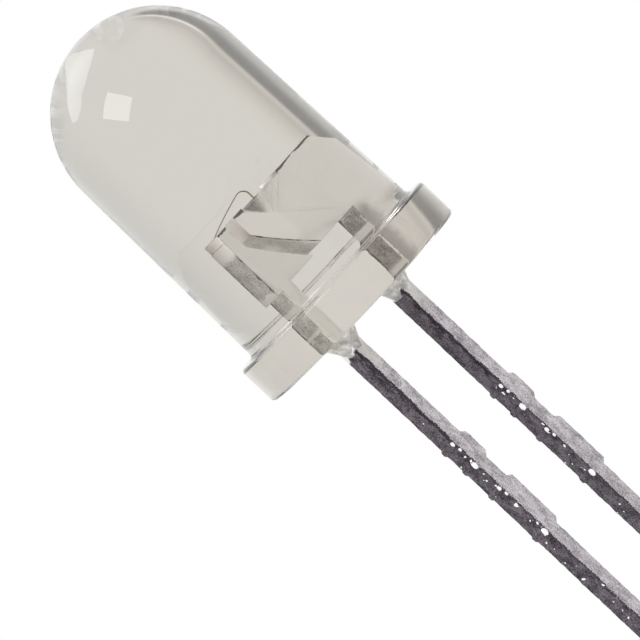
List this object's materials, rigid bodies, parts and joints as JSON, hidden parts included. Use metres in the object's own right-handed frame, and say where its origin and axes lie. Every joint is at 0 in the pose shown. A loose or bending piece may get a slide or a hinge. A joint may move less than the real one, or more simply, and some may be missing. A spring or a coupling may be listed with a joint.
{
  "type": "through hole led",
  "caption": "Clear round through-hole light-emitting diode: domed epoxy lens with a flanged base, cast round a stamped cathode with reflector cup and an anode post, on long straight leads.",
  "frame": {"origin": "on the lens axis at the underside of the flange, the plane that seats on the board", "axes": "+Z along the lens axis towards the dome, +X from the anode lead to the cathode lead, +Y normal to the lead frame's sheet"},
  "size_m": [0.0055, 0.0058, 0.0386],
  "materials": {
    "clear_epoxy": "water-clear cast epoxy, glossy, faintly warm grey",
    "tinned_leadframe": "stamped steel sheet, silver plated inside the lens and hot-dip tinned outside",
    "semiconductor": "sawn crystal, polished top",
    "silver_paste": "cured silver-filled paste, matt",
    "gold": "bright drawn gold"
  },
  "bodies": {
    "root": {"epoxy_lens": "clear_epoxy", "cathode_leadframe": "tinned_leadframe", "anode_leadframe": "tinned_leadframe", "led_die": "semiconductor", "die_attach": "silver_paste", "bond_pad": "gold", "bond_wire": "gold"}
  },
  "joints": []
}
